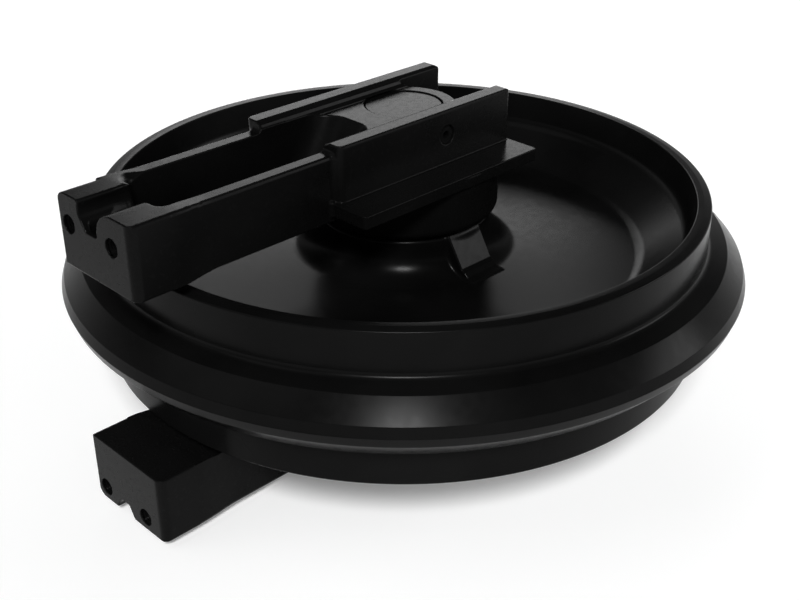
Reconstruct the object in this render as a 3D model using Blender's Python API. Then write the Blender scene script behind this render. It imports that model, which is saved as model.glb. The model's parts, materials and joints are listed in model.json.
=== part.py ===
# Front idler of a tracked excavator, lying on its side with the axle upright.
# The wheel turns on a fixed shaft between two cast brackets, whose arms reach
# towards -X, where the track adjuster's yoke is bolted on.
# Lengths are in metres, +Z is up, and the part stands on the lower bracket.

from math import asin, atan2, ceil, cos, pi, radians, sin, tan

import bmesh
import bpy
from mathutils import Vector

MM = 0.001

# Gaps: still faces that touch, running faces, and the length a cutter runs past
FIT = 0.3 * MM
RUN = 0.3 * MM
PAST = 12 * MM

# Shaft, its ends sunk a little below the floors of the brackets
SHAFT_RADIUS = 32.5 * MM
SHAFT_SINK = 1 * MM
SHAFT_CHAMFER = 1.2 * MM

# Wheel rim, seen in the half above the middle plane
WHEEL_HALF_WIDTH = 64.3 * MM
RIM_THICKNESS = 12 * MM
RIM_FLAT = 5.5 * MM
RIM_BEVEL_DROP = 1.2 * MM
RIM_EDGE_ROUND = 1.6 * MM
DISH_DRAFT = 4.5 * MM

# Centre flange that runs between the track links
FLANGE_RADIUS = 290 * MM
FLANGE_REACH = 34 * MM
CROWN_DROP = 2.8 * MM
CROWN_HALF_WIDTH = 8.2 * MM
CROWN_ROUND = 2.5 * MM
BAND_REACH = 16.6 * MM
BAND_HALF_WIDTH = 23.9 * MM
BAND_RISE = 3.6 * MM
BAND_ROUND = 1.5 * MM
TREAD_FOOT_ROUND = 6 * MM

# Web and dish
WEB_HALF_THICKNESS = 9 * MM
DISH_SLOPE_REACH = 41 * MM
DISH_SLOPE_RISE = 27 * MM
DISH_FOOT_ROUND = 16 * MM
DISH_WALL_ROUND = 14 * MM

# Hub
HUB_RADIUS = 74 * MM
HUB_HALF_WIDTH = 41 * MM
HUB_EDGE_ROUND = 3 * MM
HUB_FOOT_ROUND = 24 * MM

# Sloping boss cast on one side of the hub
BOSS_HALF_WIDTH = 17 * MM
BOSS_TOP_RADIUS = 70 * MM
BOSS_TOP_HEIGHT = 33 * MM
BOSS_FOLD_RADIUS = 90 * MM
BOSS_FOLD_HEIGHT = 15.5 * MM
BOSS_FOOT_RADIUS = 103 * MM
BOSS_FOOT_HEIGHT = 10.5 * MM
BOSS_ANGLE = radians(-86)

# Bushes, thrust rings and the seats that hold them
BUSH_WALL = 4.7 * MM
BUSH_START = 6 * MM
BUSH_SEAT_HEIGHT = 22 * MM
BUSH_FLANGE_WIDTH = 6.5 * MM
BUSH_FLANGE_THICKNESS = 4 * MM
THRUST_RING_THICKNESS = 3.7 * MM

# Floating face seals
SEAL_POCKET_RADIUS = 51 * MM
SEAL_FACE_WIDTH = 8 * MM
SEAL_FACE_THICKNESS = 3.4 * MM
SEAL_RING_LENGTH = 9 * MM
SEAL_RING_WALL = 3 * MM
SEAL_NOSE_GAP = 2 * MM
SEAL_RUBBER_HALF_HEIGHT = 3.6 * MM

# Bracket housing round the seal
HOUSING_RADIUS = 80 * MM
HOUSING_EDGE_ROUND = 8 * MM
HUB_TO_HOUSING = 2 * MM
NOSE_WALL = 4.7 * MM

# Heights above the rim at which the arm and the guide flange begin
ARM_CLEARANCE = 13.2 * MM
GUIDE_CLEARANCE = 18.4 * MM

# Guide flange, the plate that slides in the track frame
GUIDE_THICKNESS = 10.5 * MM
GUIDE_BACK = -119.5 * MM
GUIDE_FRONT = 77 * MM
GUIDE_HALF_WIDTH = 80.5 * MM
GUIDE_CORNER_ROUND = 3.5 * MM

# Axle block with a rail along each side, whose inner side falls in two slopes
BLOCK_BACK = -116 * MM
BLOCK_FRONT = 75 * MM
BLOCK_HALF_WIDTH = 50.3 * MM
BLOCK_HEIGHT = 61 * MM
BLOCK_CORNER_ROUND = 6 * MM
BLOCK_EDGE_BEVEL = 1.3 * MM
RAIL_WIDTH = 12.7 * MM
RAIL_SLOPE_WIDTH = 4.6 * MM
RAIL_SLOPE_DROP = 2 * MM
RAIL_STEEP_WIDTH = 1.4 * MM
RAIL_STEEP_DROP = 2.9 * MM
LEDGE_WIDTH = 3.6 * MM
LEDGE_DROP = 1.4 * MM
FLOOR_EDGE_DROP = 1 * MM
SHAFT_BOSS_RADIUS = 43.5 * MM
POCKET_HALF_WIDTH = 34 * MM
POCKET_DEPTH = 42.5 * MM

# Arm, a channel open to the outside, which runs on into the block and ends
# there in a recess with rounded corners
ARM_HALF_WIDTH = 43 * MM
ARM_DROP = 8 * MM
ARM_EDGE_BEVEL = 2.4 * MM
ARM_WALL = 12.1 * MM
ARM_WEB = 8.5 * MM
ARM_FRONT = -62 * MM
ARM_LOW_ROUND = 2 * MM
RECESS_TIP = -56.5 * MM
RECESS_ROUND = 24 * MM
CHANNEL_END_ROUND = 8 * MM

# End block where the yoke is bolted on: two lobes, the slot between them and a
# thin front wall
END_FACE = -296 * MM
END_LENGTH = 34 * MM
END_HALF_WIDTH = 45 * MM
END_DROP = 7 * MM
END_SKIRT = 3 * MM
END_CORNER_ROUND = 7 * MM
END_WALL = 5 * MM
FAR_LOBE_ROUND = 8 * MM
FAR_FLANK_ROUND = 12 * MM
LOBE_BACK_ROUND = 8 * MM
NEAR_LOBE_ROUND = 5 * MM
SLOT_NEAR = -3 * MM
SLOT_FAR = 14.5 * MM

# Tapped holes for the yoke's bolts, M16 by 2
BOLT_CORE_RADIUS = 6.9 * MM
BOLT_DEPTH = 28 * MM
BOLT_FAR = 33 * MM
BOLT_NEAR = -20 * MM

# What differs between the two castings
UPPER = {"side": 1, "bolt_drop": 22.7 * MM, "notch_drop": 22 * MM, "far_top": 17.5 * MM,
         "far_knee": 20.5 * MM, "knee_drop": 10 * MM, "far_floor": 11 * MM,
         "near_floor": -2 * MM, "near_edge": -4 * MM, "near_round": 19 * MM}
LOWER = {"side": -1, "bolt_drop": 12 * MM, "notch_drop": 10.5 * MM, "far_top": 19 * MM,
         "far_knee": 17.5 * MM, "knee_drop": 5 * MM, "far_floor": 12.5 * MM,
         "near_floor": 2.8 * MM, "near_edge": -3 * MM, "near_round": 3 * MM}

# Lock pin across shaft and bracket, behind a screwed plug
PIN_DROP = 21.3 * MM
PIN_RADIUS = 6.5 * MM
PIN_END = 38 * MM
PLUG_RADIUS = 7.6 * MM
PLUG_LENGTH = 11 * MM
PLUG_DEPTH = 2 * MM
HEX_HALF_FLATS = 3 * MM
HEX_DEPTH = 6 * MM

# O-rings that keep the oil between shaft and bracket
RING_GROOVE_HEIGHT = 72 * MM
RING_GROOVE_DEPTH = 3.7 * MM
RING_GROOVE_WIDTH = 4.6 * MM
RING_HALF_HEIGHT = 1.7 * MM

# Oil drilling in the shaft and its plug at the lower end
OIL_OFFSET = 16 * MM
OIL_RADIUS = 3.5 * MM
OIL_CROSS_RADIUS = 3 * MM
OIL_PLUG_RADIUS = 7 * MM
OIL_PLUG_LENGTH = 10 * MM
OIL_PLUG_DEPTH = 0.8 * MM

# Facets round a full circle
WHEEL_FACETS = 48
SEAT_FACETS = 32
SEAL_FACETS = 24
HOLE_FACETS = 16
RUBBER_FACETS = 6
ARC_STEP = radians(37)
NARROW_ROUND = 3.2 * MM

# Heights that follow from the sizes above, from the wheel's middle plane
ARM_LOW = WHEEL_HALF_WIDTH + ARM_CLEARANCE
GUIDE_LOW = WHEEL_HALF_WIDTH + GUIDE_CLEARANCE
GUIDE_TOP = GUIDE_LOW + GUIDE_THICKNESS
RAIL_TOP = ARM_LOW + BLOCK_HEIGHT
BLOCK_FLOOR = (RAIL_TOP - RAIL_SLOPE_DROP - RAIL_STEEP_DROP - LEDGE_DROP - FLOOR_EDGE_DROP)
SHAFT_HALF_LENGTH = BLOCK_FLOOR - SHAFT_SINK
POCKET_FLOOR = RAIL_TOP - POCKET_DEPTH
PIN_HEIGHT = RAIL_TOP - PIN_DROP
ARM_TOP = RAIL_TOP - ARM_DROP
CHANNEL_FLOOR = ARM_LOW + ARM_WEB
CHANNEL_HALF_WIDTH = ARM_HALF_WIDTH - ARM_WALL
END_TOP = RAIL_TOP - END_DROP
END_LOW = ARM_LOW - END_SKIRT
END_BACK = END_FACE + END_LENGTH

# The frame's origin lies on the ground under the middle of the outline
AXIS_X = (-END_FACE - FLANGE_RADIUS) / 2
MIDDLE_Z = RAIL_TOP

# Radii of the wheel, from the flange inwards
CROWN_EDGE_RADIUS = FLANGE_RADIUS - CROWN_DROP
TREAD_RADIUS = FLANGE_RADIUS - FLANGE_REACH
BAND_RADIUS = TREAD_RADIUS + BAND_REACH
RIM_INNER_RADIUS = TREAD_RADIUS - RIM_THICKNESS
DISH_SLOPE_START_RADIUS = RIM_INNER_RADIUS - DISH_SLOPE_REACH

# Seats, pockets and rings that follow from the sizes above
BUSH_OUTER_RADIUS = SHAFT_RADIUS + RUN + BUSH_WALL
HUB_BORE_RADIUS = BUSH_OUTER_RADIUS + FIT
BUSH_FLANGE_RADIUS = BUSH_OUTER_RADIUS + BUSH_FLANGE_WIDTH
BUSH_POCKET_RADIUS = BUSH_FLANGE_RADIUS + FIT
BUSH_FLANGE_LOW = BUSH_SEAT_HEIGHT + FIT
BUSH_FLANGE_TOP = BUSH_FLANGE_LOW + BUSH_FLANGE_THICKNESS
THRUST_RING_LOW = BUSH_FLANGE_TOP + RUN
THRUST_RING_TOP = THRUST_RING_LOW + THRUST_RING_THICKNESS
SEAL_SHELF_HEIGHT = THRUST_RING_TOP
NOSE_END = THRUST_RING_TOP + FIT
NOSE_RADIUS = SHAFT_RADIUS + FIT + NOSE_WALL
HOUSING_LOW = HUB_HALF_WIDTH + HUB_TO_HOUSING
SEAL_PLANE = HUB_HALF_WIDTH + HUB_TO_HOUSING / 2
SEAL_POCKET_TOP = 2 * SEAL_PLANE - SEAL_SHELF_HEIGHT
SEAL_BORE_RADIUS = NOSE_RADIUS + SEAL_NOSE_GAP
SEAL_OUTER_RADIUS = SEAL_BORE_RADIUS + SEAL_FACE_WIDTH
SEAL_NECK_RADIUS = SEAL_BORE_RADIUS + SEAL_RING_WALL
RING_GROOVE_RADIUS = SHAFT_RADIUS - RING_GROOVE_DEPTH
PLUG_SEAT = BLOCK_HALF_WIDTH - PLUG_DEPTH - PLUG_LENGTH


def clear_scene():
    for thing in list(bpy.data.objects):
        bpy.data.objects.remove(thing, do_unlink=True)


def make_material(name, colour, roughness, metallic):
    material = bpy.data.materials.new(name)
    material.use_nodes = True
    shader = material.node_tree.nodes["Principled BSDF"]
    shader.inputs["Base Color"].default_value = (*colour, 1)
    shader.inputs["Roughness"].default_value = roughness
    shader.inputs["Metallic"].default_value = metallic
    return material


def make_empty(name):
    empty = bpy.data.objects.new(name, None)
    empty.location = (AXIS_X, 0, MIDDLE_Z)
    bpy.context.scene.collection.objects.link(empty)
    return empty


def make_object(name, mesh_data, side=1):
    # side -1 turns a shape drawn above the middle plane into the one below it
    bmesh.ops.scale(mesh_data, vec=(1, 1, side), verts=mesh_data.verts)
    bmesh.ops.recalc_face_normals(mesh_data, faces=mesh_data.faces)
    mesh = bpy.data.meshes.new(name)
    mesh_data.to_mesh(mesh)
    mesh_data.free()
    thing = bpy.data.objects.new(name, mesh)
    bpy.context.scene.collection.objects.link(thing)
    return thing


def rounded(corners):
    # Each corner is (across, along, radius): an arc takes the place of the point,
    # and a narrow one is a single flat
    outline = []
    for index, (across, along, radius) in enumerate(corners):
        here = Vector((across, along))
        if radius == 0:
            outline.append(tuple(here))
            continue
        back = (Vector(corners[index - 1][:2]) - here).normalized()
        ahead = (Vector(corners[(index + 1) % len(corners)][:2]) - here).normalized()
        half = back.angle(ahead) / 2
        centre = here + (back + ahead).normalized() * radius / sin(half)
        first = here + back * radius / tan(half) - centre
        last = here + ahead * radius / tan(half) - centre
        start = atan2(first.y, first.x)
        turn = (atan2(last.y, last.x) - start + pi) % (2 * pi) - pi
        steps = ceil(abs(turn) / ARC_STEP) if radius > NARROW_ROUND else 1
        for step in range(steps + 1):
            angle = start + turn * step / steps
            outline.append((centre.x + radius * cos(angle), centre.y + radius * sin(angle)))
    return outline


def circle(radius, facets, centre=(0, 0)):
    # Turned by half a facet, so that crossing holes don't meet point to point
    angles = [2 * pi * (step + 0.5) / facets for step in range(facets)]
    return [(centre[0] + radius * cos(a), centre[1] + radius * sin(a)) for a in angles]


def revolve(name, outline, facets, side=1):
    # The outline is (radius, height) and goes once round the solid's section;
    # a stretch along the axis itself is left open
    data = bmesh.new()
    points = [data.verts.new((radius, 0, height)) for radius, height in outline]
    pairs = [(points[i - 1], points[i]) for i in range(len(points))]
    edges = [data.edges.new(pair) for pair in pairs if pair[0].co.x + pair[1].co.x > 0]
    bmesh.ops.spin(data, geom=points + edges, cent=(0, 0, 0), axis=(0, 0, 1),
                   angle=2 * pi, steps=facets, use_merge=True)
    bmesh.ops.remove_doubles(data, verts=data.verts, dist=0.001 * MM)
    return make_object(name, data, side)


def prism(name, outline, low, high, axis="Z", side=1):
    # The outline lies across the axis: (y, z) for X, (x, z) for Y, (x, y) for Z
    place = {"X": lambda u, v: (low, u, v), "Y": lambda u, v: (u, low, v),
             "Z": lambda u, v: (u, v, low)}[axis]
    reach = [0, 0, 0]
    reach["XYZ".index(axis)] = high - low
    data = bmesh.new()
    face = data.faces.new([data.verts.new(place(u, v)) for u, v in outline])
    moved = bmesh.ops.extrude_face_region(data, geom=[face])["geom"]
    tops = [item for item in moved if isinstance(item, bmesh.types.BMVert)]
    bmesh.ops.translate(data, vec=reach, verts=tops)
    return make_object(name, data, side)


def bevel_edges(thing, width):
    bevel = thing.modifiers.new("edge_bevel", "BEVEL")
    bevel.width = width
    bevel.segments = 1
    bevel.limit_method = "ANGLE"
    bevel.angle_limit = radians(50)


def combine(thing, other, operation):
    other.hide_render = True
    other.display_type = "WIRE"
    boolean = thing.modifiers.new(other.name, "BOOLEAN")
    boolean.operation = operation
    boolean.solver = "EXACT"
    boolean.object = other


def finish(thing, material, parent):
    thing.data.materials.clear()
    thing.data.materials.append(material)
    thing.data.shade_smooth()
    thing.data.set_sharp_from_angle(angle=radians(32))
    thing.parent = parent
    for modifier in thing.modifiers:
        if modifier.type == "BOOLEAN":
            modifier.object.parent = parent
            for inner in modifier.object.modifiers:
                if inner.type == "BOOLEAN":
                    inner.object.parent = parent
    return thing


def wheel_section():
    # Upper half from the bore's middle out to the crown, then its mirror image
    wall_foot = RIM_INNER_RADIUS - DISH_DRAFT
    bevel_start = RIM_INNER_RADIUS + RIM_FLAT
    half = [
        (HUB_BORE_RADIUS, BUSH_SEAT_HEIGHT, 0),
        (BUSH_POCKET_RADIUS, BUSH_SEAT_HEIGHT, 0),
        (BUSH_POCKET_RADIUS, SEAL_SHELF_HEIGHT, 0),
        (SEAL_POCKET_RADIUS, SEAL_SHELF_HEIGHT, 0),
        (SEAL_POCKET_RADIUS, HUB_HALF_WIDTH, 0),
        (HUB_RADIUS, HUB_HALF_WIDTH, HUB_EDGE_ROUND),
        (HUB_RADIUS, WEB_HALF_THICKNESS, HUB_FOOT_ROUND),
        (DISH_SLOPE_START_RADIUS, WEB_HALF_THICKNESS, DISH_FOOT_ROUND),
        (wall_foot, WEB_HALF_THICKNESS + DISH_SLOPE_RISE, DISH_WALL_ROUND),
        (RIM_INNER_RADIUS, WHEEL_HALF_WIDTH, 0),
        (bevel_start, WHEEL_HALF_WIDTH, 0),
        (TREAD_RADIUS, WHEEL_HALF_WIDTH - RIM_BEVEL_DROP, RIM_EDGE_ROUND),
        (TREAD_RADIUS, BAND_HALF_WIDTH + BAND_RISE, TREAD_FOOT_ROUND),
        (BAND_RADIUS, BAND_HALF_WIDTH, BAND_ROUND),
        (CROWN_EDGE_RADIUS, CROWN_HALF_WIDTH, CROWN_ROUND),
    ]
    mirrored = [(radius, -height, turn) for radius, height, turn in reversed(half)]
    return rounded(half + [(FLANGE_RADIUS, 0, 0)] + mirrored)


def make_wheel(material, parent):
    wheel = revolve("idler_wheel", wheel_section(), WHEEL_FACETS)
    root = HUB_RADIUS - 14 * MM
    sunk = WEB_HALF_THICKNESS / 2
    side_view = rounded([
        (root, sunk, 0),
        (BOSS_FOOT_RADIUS + 4 * MM, sunk, 0),
        (BOSS_FOOT_RADIUS, BOSS_FOOT_HEIGHT, 0),
        (BOSS_FOLD_RADIUS, BOSS_FOLD_HEIGHT, 5 * MM),
        (BOSS_TOP_RADIUS, BOSS_TOP_HEIGHT, 0),
        (root, BOSS_TOP_HEIGHT, 0),
    ])
    boss = prism("hub_boss", side_view, -BOSS_HALF_WIDTH, BOSS_HALF_WIDTH, axis="Y")
    boss.rotation_euler.z = BOSS_ANGLE
    combine(wheel, boss, "UNION")
    return finish(wheel, material, parent)


def make_bush(name, side, material, parent):
    bore = SHAFT_RADIUS + RUN
    section = [
        (bore, BUSH_START),
        (BUSH_OUTER_RADIUS, BUSH_START),
        (BUSH_OUTER_RADIUS, BUSH_FLANGE_LOW),
        (BUSH_FLANGE_RADIUS, BUSH_FLANGE_LOW),
        (BUSH_FLANGE_RADIUS, BUSH_FLANGE_TOP),
        (bore, BUSH_FLANGE_TOP),
    ]
    return finish(revolve(name, section, SEAT_FACETS, side), material, parent)


def make_thrust_ring(name, side, material, parent):
    section = [
        (SHAFT_RADIUS + RUN, THRUST_RING_LOW),
        (BUSH_FLANGE_RADIUS, THRUST_RING_LOW),
        (BUSH_FLANGE_RADIUS, THRUST_RING_TOP),
        (SHAFT_RADIUS + RUN, THRUST_RING_TOP),
    ]
    return finish(revolve(name, section, SEAT_FACETS, side), material, parent)


def seal_height(offset, outer):
    # Distance from the seal's running face, towards the bracket or the hub
    return SEAL_PLANE + offset if outer else SEAL_PLANE - offset


def make_seal_ring(name, side, outer, material, parent):
    # Hard ring: a broad lapped face and a neck that carries the rubber
    section = [
        (SEAL_BORE_RADIUS, FIT / 2),
        (SEAL_OUTER_RADIUS, FIT / 2),
        (SEAL_OUTER_RADIUS, FIT / 2 + SEAL_FACE_THICKNESS / 2),
        (SEAL_NECK_RADIUS, SEAL_FACE_THICKNESS),
        (SEAL_NECK_RADIUS, SEAL_RING_LENGTH),
        (SEAL_BORE_RADIUS, SEAL_RING_LENGTH),
    ]
    section = [(radius, seal_height(offset, outer)) for radius, offset in section]
    return finish(revolve(name, section, SEAL_FACETS, side), material, parent)


def make_squeezed_ring(name, side, walls, height, half_height, material, parent):
    # Rubber ring between two round walls, flattened where it bears on them
    inner, outer = walls[0] + FIT, walls[1] - FIT
    reach = (outer - inner) / 2 / cos(pi / RUBBER_FACETS)
    section = [((inner + outer) / 2 + reach * across, height + half_height * along)
               for across, along in circle(1, RUBBER_FACETS)]
    return finish(revolve(name, section, SEAL_FACETS, side), material, parent)


def make_seal_rubber(name, side, outer, material, parent):
    # It lies against the pocket's end, between the hard ring's neck and the pocket's wall
    offset = SEAL_POCKET_TOP - SEAL_PLANE - FIT - SEAL_RUBBER_HALF_HEIGHT
    return make_squeezed_ring(name, side, (SEAL_NECK_RADIUS, SEAL_POCKET_RADIUS),
                              seal_height(offset, outer), SEAL_RUBBER_HALF_HEIGHT, material,
                              parent)


def make_shaft_seal(name, side, material, parent):
    return make_squeezed_ring(name, side, (RING_GROOVE_RADIUS, SHAFT_RADIUS + FIT),
                              RING_GROOVE_HEIGHT, RING_HALF_HEIGHT, material, parent)


def make_shaft(material, parent):
    groove_low = RING_GROOVE_HEIGHT - RING_GROOVE_WIDTH / 2
    groove_top = RING_GROOVE_HEIGHT + RING_GROOVE_WIDTH / 2
    half = [
        (SHAFT_RADIUS, groove_low),
        (RING_GROOVE_RADIUS, groove_low),
        (RING_GROOVE_RADIUS, groove_top),
        (SHAFT_RADIUS, groove_top),
        (SHAFT_RADIUS, SHAFT_HALF_LENGTH - SHAFT_CHAMFER),
        (SHAFT_RADIUS - SHAFT_CHAMFER, SHAFT_HALF_LENGTH),
        (0, SHAFT_HALF_LENGTH),
    ]
    mirrored = [(radius, -height) for radius, height in reversed(half)]
    shaft = revolve("idler_shaft", mirrored + half, SEAT_FACETS)
    reach = SHAFT_RADIUS + PAST
    for name, side in (("upper_pin_hole", 1), ("lower_pin_hole", -1)):
        hole = circle(PIN_RADIUS + FIT, HOLE_FACETS, (0, PIN_HEIGHT))
        combine(shaft, prism(name, hole, -reach, reach, "Y", side), "DIFFERENCE")
    mouth = -SHAFT_HALF_LENGTH - PAST
    seat_end = -SHAFT_HALF_LENGTH + OIL_PLUG_DEPTH + OIL_PLUG_LENGTH + FIT
    place = (OIL_OFFSET, 0)
    seat = prism("oil_plug_seat", circle(OIL_PLUG_RADIUS + FIT, HOLE_FACETS, place),
                 mouth, seat_end)
    drilling = prism("oil_drilling", circle(OIL_RADIUS, 12, place), mouth, OIL_CROSS_RADIUS / 3)
    cross = prism("oil_cross_drilling", circle(OIL_CROSS_RADIUS, 12), OIL_OFFSET, reach, "X")
    combine(shaft, seat, "DIFFERENCE")
    combine(shaft, drilling, "DIFFERENCE")
    combine(shaft, cross, "DIFFERENCE")
    return finish(shaft, material, parent)


def hex_outline(half_flats, centre=(0, 0)):
    return circle(half_flats / cos(pi / 6), 6, centre)


def make_oil_plug(material, parent):
    low = -SHAFT_HALF_LENGTH + OIL_PLUG_DEPTH
    place = (OIL_OFFSET, 0)
    plug = prism("oil_plug", circle(OIL_PLUG_RADIUS, HOLE_FACETS, place), low,
                 low + OIL_PLUG_LENGTH)
    socket = prism("oil_plug_socket", hex_outline(HEX_HALF_FLATS, place), low - PAST,
                   low + HEX_DEPTH)
    combine(plug, socket, "DIFFERENCE")
    return finish(plug, material, parent)


def make_lock_pin(name, side, material, parent):
    outline = circle(PIN_RADIUS, HOLE_FACETS, (0, PIN_HEIGHT))
    pin = prism(name, outline, -PLUG_SEAT + FIT, PIN_END - FIT, "Y", side)
    return finish(pin, material, parent)


def make_pin_plug(name, side, material, parent):
    place = (0, PIN_HEIGHT)
    outer = -BLOCK_HALF_WIDTH + PLUG_DEPTH
    plug = prism(name, circle(PLUG_RADIUS, HOLE_FACETS, place), outer, outer + PLUG_LENGTH - FIT,
                 "Y", side)
    socket = prism(name + "_socket", hex_outline(HEX_HALF_FLATS, place), outer - PAST,
                   outer + HEX_DEPTH, "Y", side)
    combine(plug, socket, "DIFFERENCE")
    return finish(plug, material, parent)


def housing_section():
    # Nose inside the seal, seal pocket and round outer wall, as one turned shape
    core = SHAFT_RADIUS / 2
    top = GUIDE_LOW + 2 * MM
    return rounded([
        (core, NOSE_END, 0),
        (NOSE_RADIUS, NOSE_END, 0),
        (NOSE_RADIUS, SEAL_POCKET_TOP, 0),
        (SEAL_POCKET_RADIUS, SEAL_POCKET_TOP, 0),
        (SEAL_POCKET_RADIUS, HOUSING_LOW, 0),
        (HOUSING_RADIUS, HOUSING_LOW, HOUSING_EDGE_ROUND),
        (HOUSING_RADIUS, top, 0),
        (core, top, 0),
    ])


def arm_section():
    # Solid bar with bevelled upper edges, as (y, z); the channel is cut into it later
    half = ARM_HALF_WIDTH
    return rounded([
        (-half, ARM_LOW, ARM_LOW_ROUND),
        (half, ARM_LOW, ARM_LOW_ROUND),
        (half, ARM_TOP - ARM_EDGE_BEVEL, 0),
        (half - ARM_EDGE_BEVEL, ARM_TOP, 0),
        (-half + ARM_EDGE_BEVEL, ARM_TOP, 0),
        (-half, ARM_TOP - ARM_EDGE_BEVEL, 0),
    ])


def end_section(kind):
    # Two lobes with a notch between them, as (y, z): the far flank is hollow, the near one round
    half = END_HALF_WIDTH
    floor = END_TOP - kind["notch_drop"]
    return rounded([
        (-half, END_LOW, ARM_LOW_ROUND),
        (half, END_LOW, ARM_LOW_ROUND),
        (half, END_TOP, FAR_LOBE_ROUND),
        (kind["far_top"], END_TOP, 0),
        (kind["far_knee"], END_TOP - kind["knee_drop"], FAR_FLANK_ROUND),
        (kind["far_floor"], floor, 0),
        (kind["near_floor"], floor, 0),
        (kind["near_edge"], END_TOP, kind["near_round"]),
        (-half, END_TOP, NEAR_LOBE_ROUND),
    ])


def end_plan():
    # Seen from above: rounded upright edges in front
    half = END_HALF_WIDTH + 1 * MM
    return rounded([
        (END_FACE, -half, END_CORNER_ROUND),
        (END_BACK, -half, 0),
        (END_BACK, half, 0),
        (END_FACE, half, END_CORNER_ROUND),
    ])


def make_end_block(name, kind):
    side = kind["side"]
    block = prism(name, end_section(kind), END_FACE, END_BACK, "X", side)
    plan = prism(name + "_plan", end_plan(), END_LOW - PAST, END_TOP + PAST, "Z", side)
    combine(block, plan, "INTERSECT")
    return block


def channel_plan():
    # Slot between the lobes, channel of the arm, and recess in the block, seen from above
    half = CHANNEL_HALF_WIDTH
    front = END_FACE + END_WALL
    return rounded([
        (front, SLOT_NEAR, 0),
        (END_BACK, SLOT_NEAR, LOBE_BACK_ROUND),
        (END_BACK, -half, CHANNEL_END_ROUND),
        (RECESS_TIP, -half, RECESS_ROUND),
        (RECESS_TIP, half, RECESS_ROUND),
        (END_BACK, half, CHANNEL_END_ROUND),
        (END_BACK, SLOT_FAR, LOBE_BACK_ROUND),
        (front, SLOT_FAR, 0),
    ])


def channel_edge_section():
    # Wedge that bevels the channel's two upper edges, as (y, z)
    inside = CHANNEL_HALF_WIDTH - ARM_EDGE_BEVEL
    low = ARM_TOP - 2 * ARM_EDGE_BEVEL
    top = ARM_TOP + FIT
    spread = top - low
    return [(-inside, low), (inside, low), (inside + spread, top), (-inside - spread, top)]


def pocket_plan():
    # Open end between the rails, round the boss that holds the shaft
    reach = asin(POCKET_HALF_WIDTH / SHAFT_BOSS_RADIUS)
    steps = 8
    turns = [-reach + 2 * reach * step / steps for step in range(steps + 1)]
    arc = [(SHAFT_BOSS_RADIUS * cos(a), SHAFT_BOSS_RADIUS * sin(a)) for a in turns]
    end = BLOCK_FRONT + PAST
    return arc + [(end, POCKET_HALF_WIDTH), (end, -POCKET_HALF_WIDTH)]


def floor_section():
    # Sunk floor between the rails: each rail falls in a slope and a steep facet to a
    # ledge, and the ledge slopes to the floor's edge, as (y, z)
    edge = BLOCK_HALF_WIDTH - RAIL_WIDTH
    steep = edge - RAIL_SLOPE_WIDTH
    ledge = steep - RAIL_STEEP_WIDTH
    foot = ledge - LEDGE_WIDTH
    steep_top = RAIL_TOP - RAIL_SLOPE_DROP
    spread = RAIL_SLOPE_WIDTH / RAIL_SLOPE_DROP * PAST
    one_side = [
        (foot, BLOCK_FLOOR),
        (foot, BLOCK_FLOOR + FLOOR_EDGE_DROP),
        (ledge, steep_top - RAIL_STEEP_DROP),
        (steep, steep_top),
        (edge + spread, RAIL_TOP + PAST),
    ]
    return one_side + [(-across, height) for across, height in reversed(one_side)]


def block_plan():
    return rounded([
        (BLOCK_BACK, -BLOCK_HALF_WIDTH, BLOCK_CORNER_ROUND),
        (BLOCK_FRONT, -BLOCK_HALF_WIDTH, BLOCK_CORNER_ROUND),
        (BLOCK_FRONT, BLOCK_HALF_WIDTH, BLOCK_CORNER_ROUND),
        (BLOCK_BACK, BLOCK_HALF_WIDTH, BLOCK_CORNER_ROUND),
    ])


def guide_plan():
    return rounded([
        (GUIDE_BACK, -GUIDE_HALF_WIDTH, GUIDE_CORNER_ROUND),
        (GUIDE_FRONT, -GUIDE_HALF_WIDTH, GUIDE_CORNER_ROUND),
        (GUIDE_FRONT, GUIDE_HALF_WIDTH, GUIDE_CORNER_ROUND),
        (GUIDE_BACK, GUIDE_HALF_WIDTH, GUIDE_CORNER_ROUND),
    ])


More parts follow.
